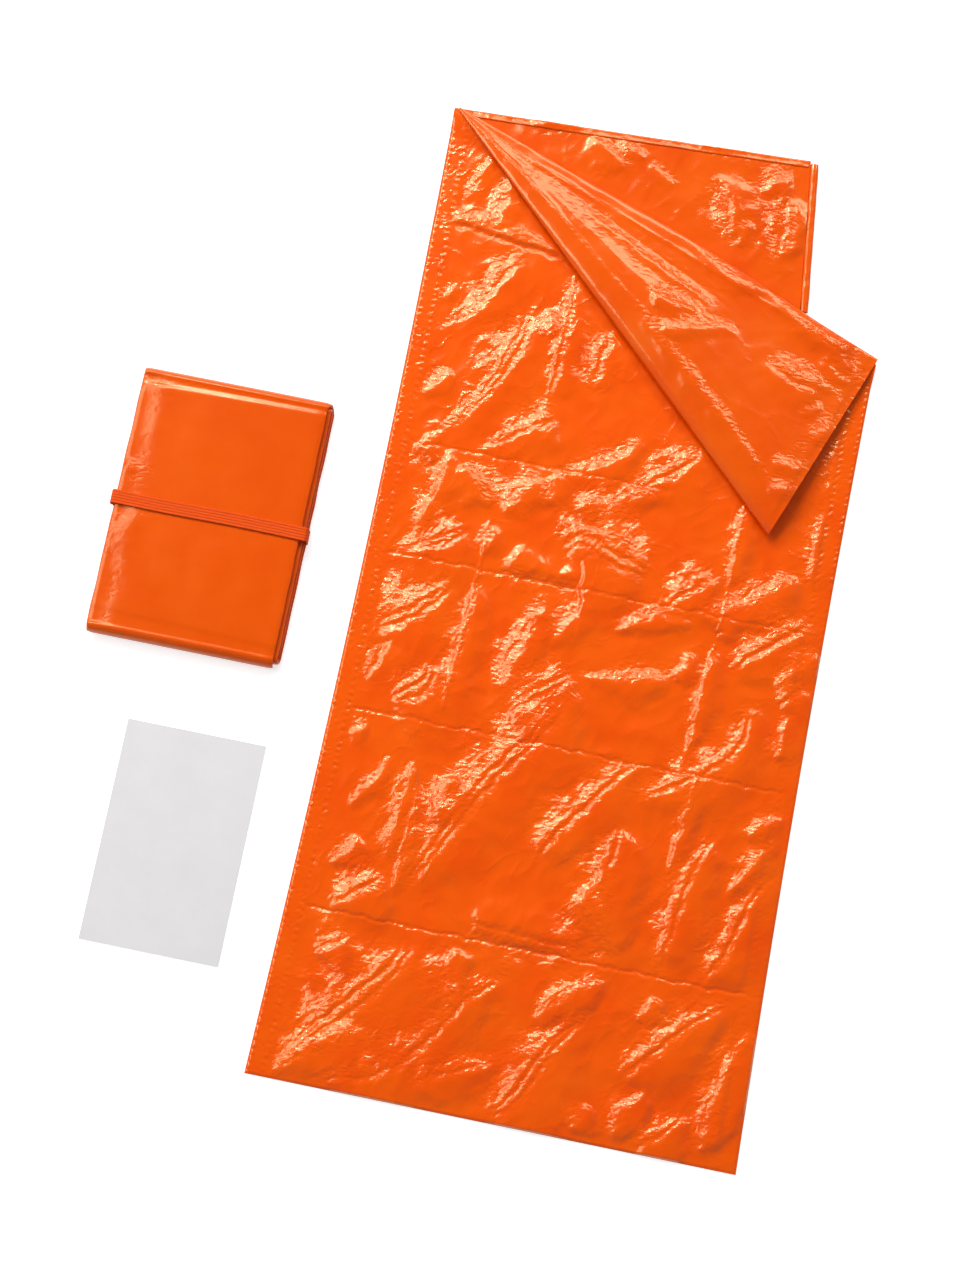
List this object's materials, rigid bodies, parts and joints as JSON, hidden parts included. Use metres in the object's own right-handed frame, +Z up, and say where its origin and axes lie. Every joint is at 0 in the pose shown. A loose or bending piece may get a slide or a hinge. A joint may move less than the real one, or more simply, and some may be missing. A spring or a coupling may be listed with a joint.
{
  "type": "survival bag",
  "caption": "Open lay-flat film survival bag with its mouth corner turned back, a folded bag held in an elastic band, and a blank leaflet.",
  "frame": {"origin": "centre of the open bag's underside, on the surface that it lies on", "axes": "+Y along the bag from its foot to its mouth, +X across it to the side whose mouth corner is turned back, +Z up"},
  "size_m": [1.365, 1.89, 0.0446],
  "materials": {
    "film": "glossy wrinkled orange film",
    "film_seam": "glossy orange film, doubled and puckered along the welds",
    "pack_film": "satin orange film, folded in layers",
    "elastic": "matt braided orange elastic",
    "paper": "matt pale grey paper, blank"
  },
  "bodies": {
    "bag": {"back_sheet": "film", "front_sheet": "film", "left_seam": "film_seam", "right_seam": "film_seam", "back_mouth_hem": "film_seam", "tucked_margin": "film", "mouth_fold": "film"},
    "shin_panel": {"shin_back_sheet": "film", "shin_front_sheet": "film", "shin_left_seam": "film_seam", "shin_right_seam": "film_seam"},
    "foot_panel": {"foot_back_sheet": "film", "foot_front_sheet": "film", "foot_left_seam": "film_seam", "foot_right_seam": "film_seam", "foot_seam": "film_seam"},
    "mouth_flap": {"flap_top_sheet": "film", "flap_under_sheet": "film", "flap_mouth_roll": "film", "flap_side_margin": "film_seam"},
    "pack": {"packed_bag": "pack_film"},
    "band": {"elastic_band": "elastic", "band_join": "elastic"},
    "card": {"instruction_card": "paper"}
  },
  "joints": [
    {"name": "mouth_flap_turn", "type": "hinge", "parent": "bag", "child": "mouth_flap", "pos_m": [-0.00293, 0.761, 0.0155], "axis": [-0.9335, 0.3585, 0], "range_deg": [0, 170]},
    {"name": "shin_fold", "type": "hinge", "parent": "bag", "child": "shin_panel", "pos_m": [0, -0.243, 0.015], "axis": [-1, 0, 0], "range_deg": [0, 180]},
    {"name": "foot_fold", "type": "hinge", "parent": "shin_panel", "child": "foot_panel", "pos_m": [0, -0.615, -0.0002], "axis": [1, 0, 0], "range_deg": [0, 180]},
    {"name": "pack_lift", "type": "slide", "parent": "bag", "child": "pack", "axis": [0, 0, 1], "range_m": [0, 0.3]},
    {"name": "band_slide", "type": "slide", "parent": "pack", "child": "band", "axis": [0, 1, 0], "range_m": [-0.28, 0.28]},
    {"name": "card_lift", "type": "slide", "parent": "bag", "child": "card", "axis": [0, 0, 1], "range_m": [0, 0.2]}
  ],
  "couplings": [
    {"joint": "foot_fold", "follows": "shin_fold", "ratio": 1}
  ]
}
